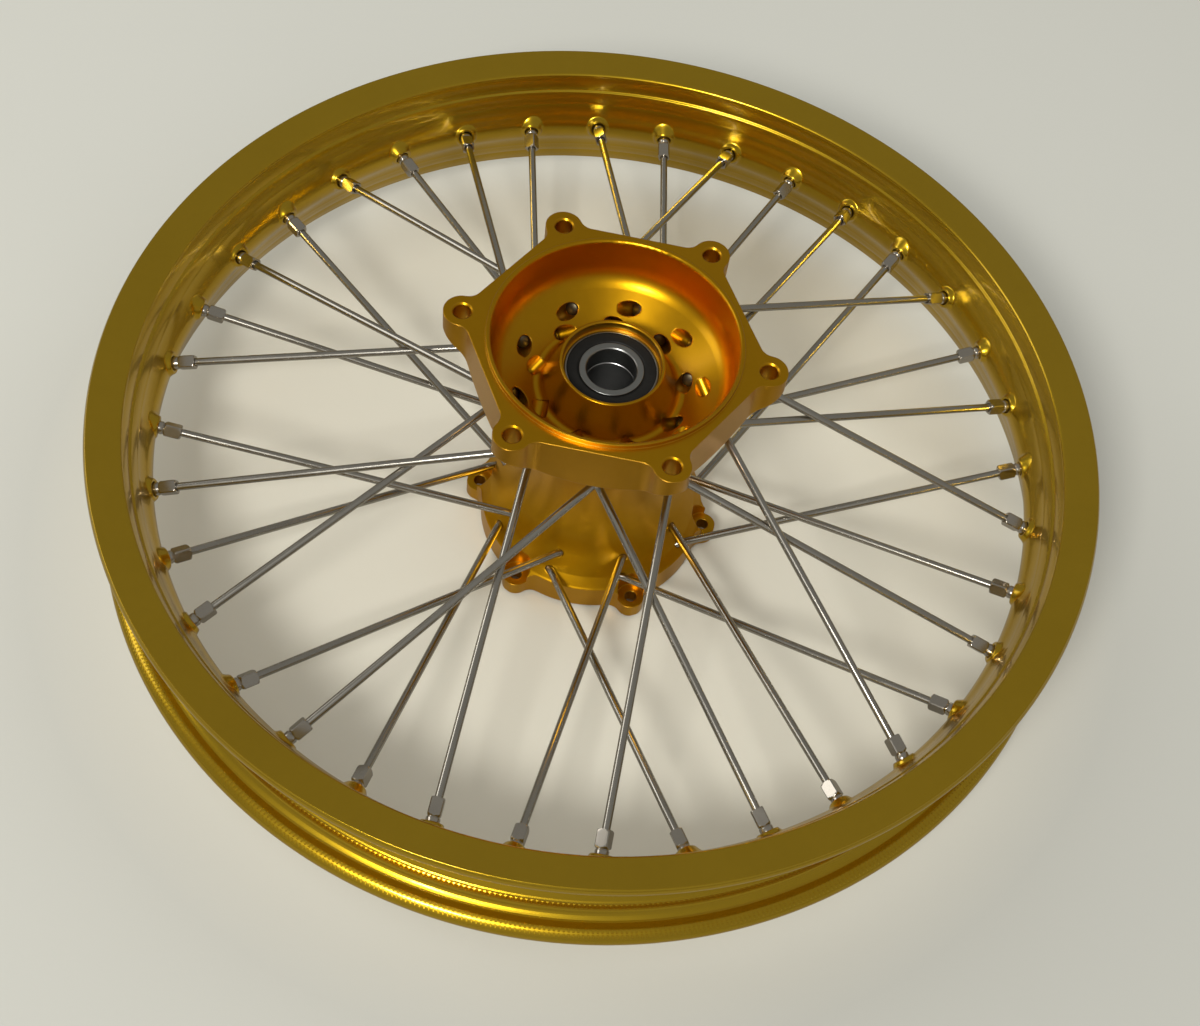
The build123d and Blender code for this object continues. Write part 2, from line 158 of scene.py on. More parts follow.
# ------------------------------------------------------------ shader helpers
class Shader:
    """Adds nodes to a cleared node tree. Inputs take a value or another node's output."""

    def __init__(self, owner):
        owner.use_nodes = True
        self.tree = owner.node_tree
        self.tree.nodes.clear()

    def add(self, kind, inputs=None, **settings):
        node = self.tree.nodes.new(kind)
        for key, value in settings.items():
            setattr(node, key, value)
        for key, value in (inputs or {}).items():
            self.feed(node.inputs[key], value)
        return node

    def feed(self, socket, value):
        if isinstance(value, bpy.types.NodeSocket):
            self.tree.links.new(value, socket)
        else:
            socket.default_value = value

    def math(self, operation, *values, clamp=False):
        inputs = dict(enumerate(values))
        return self.add("ShaderNodeMath", inputs, operation=operation, use_clamp=clamp).outputs[0]

    def noise(self, vector, scale, detail, roughness=0.5):
        return self.add("ShaderNodeTexNoise", {
            "Vector": vector, "Scale": scale, "Detail": detail, "Roughness": roughness}).outputs[0]

    def ramp(self, value, from_min, from_max, to_min, to_max):
        inputs = dict(enumerate((value, from_min, from_max, to_min, to_max)))
        return self.add("ShaderNodeMapRange", inputs).outputs[0]

    def mix(self, factor, first, second):
        """Colour mix."""
        inputs = {0: factor, 6: first, 7: second}
        return self.add("ShaderNodeMix", inputs, data_type="RGBA").outputs[2]

    def split(self, vector):
        return self.add("ShaderNodeSeparateXYZ", {0: vector}).outputs

    def coordinates(self, kind):
        return self.add("ShaderNodeTexCoord").outputs[kind]


# ------------------------------------------------------------------ finishes
def surface(name, base, rough, *, vary, rough_vary, smudge, bump, metallic=1.0, tint=None,
            lathe=0.0, lathe_scale=0.0, grain=0.0, coat=0.0, coat_rough=0.0,
            edge=0.0, edge_radius=0.0, specular=0.5):
    """Procedural finish.

    vary, tint: cloudy colour change, and a second colour for the light clouds
    rough_vary, smudge: cloudy roughness change, and extra roughness in patches
    bump, grain, lathe: relief strength, and the share of fine grain and of turning rings
    edge, edge_radius: brightness and width (m) of the worn edges
    """
    mat = bpy.data.materials.new(name)
    sh = Shader(mat)
    principled = sh.add("ShaderNodeBsdfPrincipled", {
        "Metallic": metallic, "Specular IOR Level": specular})
    sh.add("ShaderNodeOutputMaterial", {0: principled.outputs[0]})
    place = sh.coordinates("Object")

    # colour and roughness share one cloud pattern
    cloud = sh.noise(place, scale=14.0, detail=5.0, roughness=0.6)
    fine = sh.noise(place, scale=220.0, detail=6.0, roughness=0.65)
    clouds = sh.math("ADD", sh.math("MULTIPLY", cloud, 0.65), sh.math("MULTIPLY", fine, 0.35))
    dark = tuple(c * (1 - vary) for c in base) + (1,)
    light = tuple(min(1.0, c * (1 + vary)) for c in (tint or base)) + (1,)
    colour = sh.mix(sh.ramp(clouds, 0.35, 0.65, 0, 1), dark, light)
    roughness = sh.ramp(clouds, 0.3, 0.7, rough - rough_vary, rough + rough_vary)
    smudges = sh.noise(place, scale=38.0, detail=8.0, roughness=0.7)
    roughness = sh.math("ADD", roughness, sh.ramp(smudges, 0.52, 0.72, 0.0, smudge))

    relief = {"Strength": bump, "Distance": 0.00004}
    if edge:
        # an edge is where the rounded normal leaves the true one
        rounded = sh.add("ShaderNodeBevel", {0: edge_radius}, samples=6).outputs[0]
        true_normal = sh.add("ShaderNodeNewGeometry").outputs["Normal"]
        agreement = sh.add("ShaderNodeVectorMath", {0: rounded, 1: true_normal},
                           operation="DOT_PRODUCT").outputs["Value"]
        patchy = sh.noise(place, scale=160.0, detail=5.0, roughness=0.7)
        wear = sh.math("MULTIPLY", sh.ramp(agreement, 0.995, 0.86, 0.0, 1.0),
                       sh.ramp(patchy, 0.35, 0.6, 0.35, 1.0))
        bright = tuple(min(1.0, c * 1.25 + 0.10) for c in base) + (1,)
        colour = sh.mix(sh.math("MULTIPLY", wear, edge), colour, bright)
        polish = sh.math("MULTIPLY", wear, 0.08 * edge)
        roughness = sh.math("SUBTRACT", roughness, polish, clamp=True)
        relief["Normal"] = rounded

    height = sh.math("MULTIPLY", sh.noise(place, scale=600.0, detail=5.0, roughness=0.6), 0.5)
    if grain:
        grains = sh.noise(place, scale=2500.0, detail=2.0, roughness=0.5)
        height = sh.math("ADD", height, sh.math("MULTIPLY", grains, grain))
    if lathe:
        # rings about the axle, stepping with both radius and depth
        x, y, z = sh.split(place)
        radius = sh.math("SQRT", sh.math("ADD", sh.math("MULTIPLY", x, x),
                                         sh.math("MULTIPLY", z, z)))
        ring = sh.math("ADD", sh.math("MULTIPLY", radius, 1.0), sh.math("MULTIPLY", y, 0.93))
        rings = sh.add("ShaderNodeTexNoise", {
            "W": ring, "Scale": lathe_scale, "Detail": 4.0, "Roughness": 0.8},
            noise_dimensions="1D").outputs[0]
        height = sh.math("ADD", height, sh.math("MULTIPLY", rings, lathe))
    relief["Height"] = height

    sh.feed(principled.inputs["Base Color"], colour)
    sh.feed(principled.inputs["Roughness"], sh.math("ADD", roughness, 0.0, clamp=True))
    sh.feed(principled.inputs["Normal"], sh.add("ShaderNodeBump", relief).outputs[0])
    if coat:
        principled.inputs["Coat Weight"].default_value = coat
        principled.inputs["Coat Roughness"].default_value = coat_rough
        principled.inputs["Coat IOR"].default_value = 1.6
    return mat


RIM_GOLD = surface(
    "rim_gold", base=(0.61, 0.385, 0.014), tint=(0.63, 0.40, 0.016), vary=0.015,
    rough=0.25, rough_vary=0.012, smudge=0.015, bump=0.018, grain=0.05,
    lathe=0.5, lathe_scale=1500.0, coat=0.32, coat_rough=0.09)
HUB_GOLD = surface(
    "hub_gold", base=(0.62, 0.31, 0.004), tint=(0.64, 0.325, 0.006), vary=0.02,
    rough=0.33, rough_vary=0.015, smudge=0.02, bump=0.035, grain=0.1,
    lathe=0.6, lathe_scale=1300.0, coat=0.1, coat_rough=0.16, edge=0.35, edge_radius=0.0008)
SPOKE = surface(
    "spoke_stainless", base=(0.44, 0.415, 0.37), vary=0.04,
    rough=0.22, rough_vary=0.03, smudge=0.04, bump=0.05, grain=0.5)
# painted shade: the spoke heads are the same steel as the shanks, coloured near black for the
# shade down in the hub's counterbores
SPOKE_HEAD_PAINTED_SHADE = surface(
    "spoke_head_painted_shade", base=(0.10, 0.085, 0.055), vary=0.15,
    rough=0.42, rough_vary=0.06, smudge=0.08, bump=0.2, grain=0.8)
NIPPLE = surface(
    "nipple_nickel", base=(0.52, 0.48, 0.42), vary=0.05,
    rough=0.17, rough_vary=0.04, smudge=0.05, bump=0.08, grain=0.5)
STEEL = surface(
    "bearing_ring_steel", base=(0.34, 0.345, 0.335), vary=0.05,
    rough=0.32, rough_vary=0.04, smudge=0.06, bump=0.2,
    lathe=0.8, lathe_scale=2600.0, edge=0.3, edge_radius=0.0003)
BALL = surface(
    "ball_steel", base=(0.60, 0.60, 0.59), vary=0.03,
    rough=0.12, rough_vary=0.03, smudge=0.04, bump=0.02, grain=0.2)
CAGE = surface(
    "cage_steel", base=(0.42, 0.40, 0.37), vary=0.08,
    rough=0.3, rough_vary=0.05, smudge=0.08, bump=0.25, grain=0.5)
RUBBER = surface(
    "seal_rubber", base=(0.013, 0.0125, 0.0115), vary=0.25, metallic=0.0, specular=0.15,
    rough=0.48, rough_vary=0.08, smudge=0.1, bump=0.5, grain=0.8)
TUBE = surface(
    "distance_tube_aluminium", base=(0.55, 0.55, 0.55), vary=0.06,
    rough=0.3, rough_vary=0.05, smudge=0.08, bump=0.3,
    lathe=1.0, lathe_scale=2000.0, edge=0.3, edge_radius=0.0003)

# -------------------------------------------------------------------- lacing
NIPPLES = 36
PITCH = 360 / NIPPLES                # degrees between nipples
NIPPLE_PHASE = 160.8                 # angle of the first nipple
DIMPLE_R = 225.4                     # radius of the nipple tip points
NIPPLE_Z_MID, NIPPLE_Z = 1.6, 1.2    # their middle plane, and the stagger either side of it
PER_GROUP = 9
GROUP_STEP = 360 / PER_GROUP
BEND_FROM_MOUTH = 3.0

# group: first nipple, mouth and inner end as (radius, z, degrees from the nipple),
# and the side its nipples are staggered to
GROUPS = {
    "sprocket_outer_row": (8, (55.0, 52.6, 34.6), (46.0, 61.0, 47.6), 1),
    "sprocket_inner_row": (10, (48.5, 46.6, -28.7), (38.0, 56.0, -44.8), 1),
    "disc_inner_row": (3, (48.5, -31.3, 28.0), (36.6, -39.0, 42.6), -1),
    "disc_outer_row": (9, (55.0, -39.9, -34.5), (46.1, -47.4, -46.9), -1),
}
Lacing = namedtuple("Lacing", "tip bend inner outward inward")


def lace(first, mouth, inner, side):
    """Key points and directions of a group's first spoke."""
    angle = NIPPLE_PHASE + PITCH * (first - 1)
    tip = polar(DIMPLE_R, angle, NIPPLE_Z_MID + side * NIPPLE_Z)
    mouth, inner = (polar(r, angle + offset, z) for r, z, offset in (mouth, inner))
    outward = unit(tip - mouth)
    bend = mouth + outward * BEND_FROM_MOUTH
    return Lacing(tip, bend, inner, outward, inward=unit(inner - bend))


LACING = {name: lace(*group) for name, group in GROUPS.items()}


def turn(i):
    """Rotation about the axle to the i-th spoke of a group."""
    angle = math.radians(GROUP_STEP * i)
    c, s = math.cos(angle), math.sin(angle)
    return np.array([[c, -s, 0], [s, c, 0], [0, 0, 1]])


def group_mesh(copies, faces):
    """One mesh from a group's copies, each turned to its own spoke."""
    points = np.concatenate([copy @ turn(i).T for i, copy in enumerate(copies)])
    size = len(copies[0])
    return points, [tuple(j + i * size for j in face)
                    for i in range(len(copies)) for face in faces]


# --------------------------------------------------------------- rim section
def arc(start, through, end, segments):
    """Points of the circular arc from start through a middle point to the end."""
    (ax, ay), (mx, my), (bx, by) = start, through, end
    d = 2 * (ax * (my - by) + mx * (by - ay) + bx * (ay - my))
    a2, m2, b2 = ax * ax + ay * ay, mx * mx + my * my, bx * bx + by * by
    cx = (a2 * (my - by) + m2 * (by - ay) + b2 * (ay - my)) / d
    cy = (a2 * (bx - mx) + m2 * (ax - bx) + b2 * (mx - ax)) / d
    r = math.hypot(ax - cx, ay - cy)
    t0, tm, t1 = (math.atan2(y - cy, x - cx) for x, y in (start, through, end))
    sweep = (t1 - t0) % TAU
    if (tm - t0) % TAU > sweep:
        sweep -= TAU
    angles = [t0 + sweep * i / segments for i in range(segments + 1)]
    return [(cx + r * math.cos(t), cy + r * math.sin(t)) for t in angles]


def outline(start, *steps):
    """Each step is (end,) for a straight, or (end, through, segments) for an arc."""
    points = [start]
    at = start
    for end, *curve in steps:
        points += arc(at, curve[0], end, curve[1])[1:] if curve else [end]
        at = end
    return points


def softened(points, radius, segments):
    """Small fillets on the sharp corners of an open polyline; ends are kept."""
    out = [points[0]]
    for i in range(1, len(points) - 1):
        p, before, after = (np.array(points[j], float) for j in (i, i - 1, i + 1))
        u, v = unit(before - p), unit(after - p)
        bend = math.pi - math.acos(float(np.clip(u @ v, -1, 1)))
        if bend < math.radians(9):
            out.append(tuple(p))
            continue
        cut = min(radius * math.tan(bend / 2), 0.45 * np.linalg.norm(before - p),
                  0.45 * np.linalg.norm(after - p))
        p0, p1 = p + u * cut, p + v * cut
        for k in range(segments + 1):
            s = k / segments
            out.append(tuple((1 - s) ** 2 * p0 + 2 * s * (1 - s) * p + s * s * p1))
    out.append(points[-1])
    return out


def radius_at(wall, z):
    wall = np.array(wall)
    return np.interp(np.abs(z), wall[:, 1], wall[:, 0])


def both_sides(values):
    return np.array([-z for z in values[:0:-1]] + values)


# outlines of one half as (radius, z)
# hub-facing wall, from the mid-plane outwards
HUB_WALL = outline(
    (226.6, 0), ((228.6, 7.4), (227.087, 3.75), 8),
    ((229.1, 8.3),), ((231.7, 16.2), (230.7, 12.2), 8),
    ((232.1, 17.2),), ((234.2, 23.2), (232.95, 20.2), 7),
    ((235.3, 24.0),), ((237.3, 31.6), (236.0, 27.8), 7),
    ((238.8, 33.55), (237.75, 32.85), 5))
# tyre-facing wall, from the mid-plane outwards
TYRE_WALL = outline(
    (231.0, 0), ((231.0, 6.2),), ((232.9, 10.6), (231.49, 8.6), 6), ((240.3, 17.4),))
# side face, lip and bead seat, from the hub wall's end to the tyre wall's
OUTER_RUN = outline(
    (238.8, 33.55), ((254.2, 36.0),), ((254.5, 35.3),),
    ((254.0, 29.6), (255.5, 32.6), 8), ((249.0, 27.3), (251.8, 28.0), 6),
    ((247.9, 27.3),), ((241.3, 20.7), (243.233, 25.367), 10),
    ((240.95, 19.3),), ((240.3, 17.4), (241.3, 18.35), 5))

# z of the grid rows on the two walls where holes are drilled, one half
HUB_ROW_Z = [0, 1.3, 2.6, 3.9, 5.2, 6.4, 7.4, 8.3, 9.4, 10.8, 12.2, 13.6]
TYRE_ROW_Z = [0, 2.1, 4.2, 6.2, 7.4, 8.6, 9.7, 10.6, 12.3, 14.4]
hub_z, tyre_z = both_sides(HUB_ROW_Z), both_sides(TYRE_ROW_Z)
HUB_ROWS, TYRE_ROWS = len(hub_z), len(tyre_z)

# from the last hub row round to the last tyre row
half = [(radius_at(HUB_WALL, HUB_ROW_Z[-1]), HUB_ROW_Z[-1])]
half += [p for p in HUB_WALL if p[1] > HUB_ROW_Z[-1] + 0.2]
half += OUTER_RUN[1:-1] + [(240.3, 17.4)]
half += [(radius_at(TYRE_WALL, TYRE_ROW_Z[-1]), TYRE_ROW_Z[-1])]
half = softened(half, radius=1.1, segments=5)
other_half = [(r, -z) for r, z in half[::-1]]

section = [(float(radius_at(HUB_WALL, z)), float(z)) for z in hub_z] + half[1:-1]
TYRE_START = len(section)
section += [(float(radius_at(TYRE_WALL, z)), float(z)) for z in tyre_z[::-1]]
section = np.array(section + other_half[1:-1])
SECTION = len(section)

# ----------------------------------------------------------------- rim holes
# round the rim, a block of cells at each nipple alternates with a gap of cells
BLOCK_HALF_DEG, BLOCK_CELLS, GAP_CELLS = 3.3, 16, 8
CELLS = BLOCK_CELLS + GAP_CELLS
STATIONS = NIPPLES * CELLS

# profiles round a nipple hole: (distance from the nipple axis, depth along it)
NIPPLE_HOLE_R = 3.72
DIMPLE_PROFILE = np.array([
    (NIPPLE_HOLE_R, 0.75), (3.85, 0.30), (4.1, 0.06), (4.35, 0.0), (4.8, 0.0), (5.05, 0.04),
    (5.3, 0.16), (5.5, 0.36), (5.68, 0.66), (5.85, 1.02), (6.05, 1.5), (6.3, 2.15),
    (6.6, 2.9), (6.95, 3.8), (7.4, 5.1), (7.9, 6.8), (8.4, 8.8), (9.0, 11.5), (9.8, 15.0),
    (11.4, 22.0), (20.0, 60.0)])
POCKET_PROFILE = np.array([
    (NIPPLE_HOLE_R, 3.42), (4.6, 3.42), (5.0, 3.5), (5.25, 3.85), (5.5, 4.5), (5.75, 5.35),
    (6.0, 6.4), (6.2, 7.3), (6.4, 8.5), (6.6, 9.8), (6.8, 11.5), (7.0, 14.0), (7.2, 18.0),
    (8.5, 30.0), (20.0, 120.0)])
NIPPLE_BORE_DEPTHS = (1.2, 3.0)

# valve and rim-lock holes: radius, keyed by the nipple index before their gap
STEM_HOLES = {8: 4.15, 12: 4.25}
STEM_BASE_R = 226.0
STEM_BORE_DEPTHS = (1.9, 3.9)
STEM_RINGS = (0.2, 0.4, 0.6, 0.78, 0.9, 1.0)   # share of the way from block edge to hole
BORE_STEPS = 48

# rings: share of the way from the block edge in to `reach`, where the profile's own radii
# take over; blend: softness (mm) of the join between wall and profile
WallSide = namedtuple("WallSide", "rows wall profile rings reach blend flip")
HUB_SIDE = WallSide(
    rows=list(range(HUB_ROWS)), wall=HUB_WALL, profile=DIMPLE_PROFILE,
    rings=(0.22, 0.42, 0.6, 0.76, 0.89), reach=11.4, blend=1.9, flip=False)
TYRE_SIDE = WallSide(
    rows=[TYRE_START + TYRE_ROWS - 1 - j for j in range(TYRE_ROWS)],
    wall=TYRE_WALL + [(241.0, 18.2), (241.0, 30.0)], profile=POCKET_PROFILE,
    rings=(0.25, 0.48, 0.68, 0.85), reach=10.5, blend=0.7, flip=True)


class Shell:
    """Points and faces of a growing mesh."""

    def __init__(self, points):
        self.points, self.count, self.faces = [points], len(points), []

    def add_ring(self, points):
        ids = np.arange(self.count, self.count + len(points))
        self.points.append(points)
        self.count += len(points)
        return ids

    def join(self, first, second, flip=False):
        """Quads between two closed rings of equal count."""
        n = len(first)
        for j in range(n):
            k = (j + 1) % n
            quad = (first[j], first[k], second[k], second[j])
            self.faces.append(quad[::-1] if flip else quad)

    def zip(self, ids_a, angles_a, ids_b, angles_b):
        """Triangles between two rings of unlike count, taken in order of angle."""
        ids_a, next_a = by_angle(ids_a, angles_a)
        ids_b, next_b = by_angle(ids_b, angles_b)
        na, nb = len(ids_a), len(ids_b)
        i = j = 0
        while i < na or j < nb:
            if next_a[i] <= next_b[j]:
                self.faces.append((ids_a[i], ids_a[(i + 1) % na], ids_b[j % nb]))
                i += 1
            else:
                self.faces.append((ids_a[i % na], ids_b[(j + 1) % nb], ids_b[j]))
                j += 1


def by_angle(ids, angles):
    """Ids in order of angle, and the angle that follows each; infinite past the last."""
    angles = angles % TAU
    order = np.argsort(angles)
    angles = angles[order]
    return ids[order], np.append(angles[1:], [angles[0] + TAU, np.inf])


def smooth_min(a, b, k):
    h = np.clip(0.5 + 0.5 * (b - a) / k, 0, 1)
    return b + (a - b) * h - k * h * (1 - h)


def wall_depth(tip, axis, spread, distance, wall):
    """Distance along the hole axis from the tip plane to a rim wall, by bisection."""
    low, high = np.full(distance.shape, -6.0), np.full(distance.shape, 26.0)
    for _ in range(34):
        middle = (low + high) / 2
        p = tip + spread * distance[:, None] + axis * middle[:, None]
        short = np.hypot(p[:, 0], p[:, 1]) - radius_at(wall, p[:, 2]) < 0
        low, high = np.where(short, middle, low), np.where(short, high, middle)
    return (low + high) / 2


def block_edge(columns, rows):
    """Grid points round a block, anticlockwise in (angle, z)."""
    edge = [c * SECTION + rows[0] for c in columns[:-1]]
    edge += [columns[-1] * SECTION + row for row in rows[:-1]]
    edge += [c * SECTION + rows[-1] for c in columns[:0:-1]]
    edge += [columns[0] * SECTION + row for row in rows[:0:-1]]
    return np.array(edge)


def drill(rim, first_station, cells, tip, axis, hole_radius, depths, shaped):
    """Patches round one hole on both rim walls, and its bore.

    A shaped hole follows the dimple and pocket profiles; a plain one stays on the walls.
    """
    u, v = across(axis)
    columns = [(first_station + c) % STATIONS for c in range(cells + 1)]
    openings = []
    for side in (HUB_SIDE, TYRE_SIDE):
        edge = block_edge(columns, side.rows)
        offset = rim.points[0][edge] - tip
        du, dv = offset @ u, offset @ v
        edge_distance, angles = np.hypot(du, dv), np.arctan2(dv, du)
        spread = np.cos(angles)[:, None] * u + np.sin(angles)[:, None] * v
        if shaped:
            distances = [edge_distance + (side.reach - edge_distance) * t for t in side.rings]
            distances += [np.full(len(edge), r)
                          for r in side.profile[::-1, 0] if r <= side.reach]
        else:
            distances = [edge_distance + (hole_radius - edge_distance) * t for t in STEM_RINGS]
        ring = edge
        for distance in distances:
            depth = wall_depth(tip, axis, spread, distance, side.wall)
            if shaped:
                profile = np.interp(distance, side.profile[:, 0], side.profile[:, 1])
                # the shape fades in over the first millimetre from the block edge
                fade = np.clip(edge_distance - distance, 0, 1)
                depth = depth + (smooth_min(depth, profile, side.blend) - depth) * fade
            points = tip + spread * distance[:, None] + axis * depth[:, None]
            inner_ring = rim.add_ring(points)
            rim.join(ring, inner_ring, flip=side.flip)
            ring = inner_ring
        openings.append((ring, angles))
    round_angles = np.linspace(0, TAU, BORE_STEPS, endpoint=False)
    circle = np.cos(round_angles)[:, None] * u + np.sin(round_angles)[:, None] * v
    bore = [rim.add_ring(tip + hole_radius * circle + axis * depth) for depth in depths]
    rim.zip(*openings[0], bore[0], round_angles)
    rim.join(*bore)
    rim.zip(bore[1], round_angles, *openings[1])


def swept_grid():
    """The section at every station round the rim."""
    stations = []
    for k in range(NIPPLES):
        mid = NIPPLE_PHASE + PITCH * k
        stations += list(mid + np.linspace(-BLOCK_HALF_DEG, BLOCK_HALF_DEG, BLOCK_CELLS + 1))
        gap = (PITCH - 2 * BLOCK_HALF_DEG) * np.arange(1, GAP_CELLS) / GAP_CELLS
        stations += list(mid + BLOCK_HALF_DEG + gap)
    angles = np.radians(np.array(stations))[:, None]
    radius, z = section[None, :, 0], section[None, :, 1]
    return np.stack([radius * np.cos(angles), radius * np.sin(angles),
                     np.broadcast_to(z, (STATIONS, SECTION))], -1).reshape(-1, 3)


def build_rim():
    rim = Shell(swept_grid())
    # swept faces, left open where a hole's patches go
    for a in range(STATIONS):
        b = (a + 1) % STATIONS
        drilled = a % CELLS < BLOCK_CELLS or a // CELLS in STEM_HOLES
        for s in range(SECTION):
            t = (s + 1) % SECTION
            on_wall = s < HUB_ROWS - 1 or TYRE_START <= s < TYRE_START + TYRE_ROWS - 1
            if not (drilled and on_wall):
                rim.faces.append((a * SECTION + s, b * SECTION + s,
                                  b * SECTION + t, a * SECTION + t))

    spoke_at = {}
    for name, (first, *_) in GROUPS.items():
        for i in range(PER_GROUP):
            spoke_at[(first - 1 + i * NIPPLES // PER_GROUP) % NIPPLES] = (LACING[name], i)
    for k in range(NIPPLES):
        lacing, i = spoke_at[k]
        drill(rim, k * CELLS, BLOCK_CELLS, turn(i) @ lacing.tip, turn(i) @ lacing.outward,
              NIPPLE_HOLE_R, NIPPLE_BORE_DEPTHS, shaped=True)
    for k, radius in STEM_HOLES.items():
        mid = NIPPLE_PHASE + PITCH * (k + 0.5)
        drill(rim, k * CELLS + BLOCK_CELLS, GAP_CELLS, polar(STEM_BASE_R, mid, 0),
              polar(1, mid, 0), radius, STEM_BORE_DEPTHS, shaped=False)
    mesh_piece("rim_swept", np.concatenate(rim.points), rim.faces, RIM_GOLD,
               "rim_anodised", "rim", weighted=True)


build_rim()
bpy.context.view_layer.update()      # bring the rim's world transform up to date

# -------------------------------------------------------------------- spokes
WIRE_R, WIRE_SIDES = 2.0, 24
BEND_R, BEND_SEGMENTS = 12.0, 12
SEAT_BACK = 7.0                      # head seat, back from the inner end
# (distance beyond the seat towards the inner end, radius)
HEAD_PROFILE = [(2.5, 0.5), (2.44, 1.3), (2.28, 2.2), (2.02, 3.0), (1.72, 3.45),
                (1.45, 3.6), (0.5, 3.6), (0.22, 3.5), (0.1, 3.3), (0.04, 2.15)]
SHANK_START = -0.12                  # the plain shank begins just behind the seat
END_PAST_TIP = 1.5
END_CHAMFER, END_R = 0.3, 1.7


def tube(path, radii, sides):
    """Closed tube along a list of points with one radius per point."""
    path = np.array(path)
    tangents = np.zeros_like(path)
    tangents[1:-1] = path[2:] - path[:-2]
    tangents[0], tangents[-1] = path[1] - path[0], path[-1] - path[-2]
    tangents /= np.linalg.norm(tangents, axis=1)[:, None]
    # any direction off the tangent will do to start the ring from
    reference = unit(np.cross(tangents[0], [0.3, 0.2, 0.93]))
    angles = np.linspace(0, TAU, sides, endpoint=False)
    cosines, sines = np.cos(angles)[:, None], np.sin(angles)[:, None]
    rings = []
    for centre, tangent, radius in zip(path, tangents, radii):
        reference = unit(reference - tangent * (reference @ tangent))
        sideways = np.cross(tangent, reference)
        rings.append(centre + radius * (cosines * reference + sines * sideways))
    return np.concatenate(rings), loft_faces(len(path), sides)


def spoke_mesh(lacing):
    """Domed head, bent shank and chamfered outer end."""
    inward, outward, bend = lacing.inward, lacing.outward, lacing.bend
    seat = lacing.inner - inward * SEAT_BACK
    path = [seat + inward * distance for distance, _ in HEAD_PROFILE]
    path.append(seat + inward * SHANK_START)

    half_bend = math.acos(-inward @ outward) / 2
    reach = BEND_R * math.tan(half_bend)
    bend_start, bend_end = bend + inward * reach, bend + outward * reach
    centre = bend + unit(inward + outward) * (BEND_R / math.cos(half_bend))
    a, b = bend_start - centre, bend_end - centre
    sweep = math.acos(unit(a) @ unit(b))
    for k in range(BEND_SEGMENTS + 1):
        s = k / BEND_SEGMENTS
        p = (math.sin((1 - s) * sweep) * a + math.sin(s * sweep) * b) / math.sin(sweep)
        path.append(centre + p)

    end = lacing.tip + outward * END_PAST_TIP
    path += [bend_end + (end - bend_end) * s for s in (0.25, 0.5, 0.75)]
    path += [end - outward * END_CHAMFER, end]
    radii = [radius for _, radius in HEAD_PROFILE]
    radii += [WIRE_R] * (len(path) - len(radii) - 1) + [END_R]
    return tube(path, radii, WIRE_SIDES)


def build_spokes(group, lacing):
    points, faces = spoke_mesh(lacing)
    ob = mesh_piece("spoke_wires_" + group, *group_mesh([points] * PER_GROUP, faces), SPOKE,
                    "spoke_steel", "spokes_" + group, sharp_angle=40)
    face_outward(ob)
    # painted shade: the heads down in the counterbores get a near-black colour for the shade there
    ob.data.materials.append(SPOKE_HEAD_PAINTED_SHADE)
    head_faces = (len(HEAD_PROFILE) - 1) * WIRE_SIDES
    head_cap = len(faces) - 2
    for polygon in ob.data.polygons:
        j = polygon.index % len(faces)
        if j < head_faces or j == head_cap:
            polygon.material_index = 1


for group, lacing in LACING.items():
    build_spokes(group, lacing)

# ------------------------------------------------------------------- nipples
NIPPLE_SIDES = 40
KEY_HALF, KEY_CORNER = 3.15, 0.55    # half width and corner radius of the square part
# (z, radius) along the nipple from the tip point, +Z away from the hub
MOUTH_PROFILE = [(-10.2, 2.02), (-11.2, 2.12), (-11.55, 2.4), (-11.62, 2.7)]
# here the radius only trims the corners of the square
KEY_PROFILE = [(-11.56, 3.25), (-11.36, 3.7), (-11.05, 4.02), (-10.6, 4.18), (-9.9, 4.22),
               (-8.2, 4.22), (-6.6, 4.22), (-5.0, 4.22), (-3.9, 4.22), (-3.5, 4.1),
               (-3.12, 3.7), (-2.85, 3.2)]
# neck groove, round barrel and collar
COLLAR_PROFILE = [(-2.6, 2.98), (-2.35, 3.02), (-2.1, 3.25), (-1.8, 3.36), (-0.6, 3.36),
                  (0.8, 3.36), (2.2, 3.36), (3.4, 3.36), (3.5, 3.5), (3.52, 4.3),
                  (3.62, 4.5), (3.85, 4.6), (4.85, 4.6), (5.0, 4.45), (5.02, 3.0)]
# domed head, split by a screwdriver slot
DOME_R, DOME_EDGE_Y, DOME_HEIGHT = 4.45, 4.42, 1.5
DOME_Z, DOME_BASE_Z = 5.0, 4.6
SLOT_HALF = 0.6
DOME_ROWS, DOME_COLUMNS = 7, 14


def square_radius(angle):
    """Distance from the middle to the edge of the rounded square along a ray."""
    c, s = abs(math.cos(angle)), abs(math.sin(angle))
    radius = KEY_HALF / max(c, s)
    flat = KEY_HALF - KEY_CORNER
    if radius * min(c, s) > flat:
        b = flat * (c + s)
        radius = b + math.sqrt(max(0.0, b * b - (2 * flat * flat - KEY_CORNER * KEY_CORNER)))
    return radius


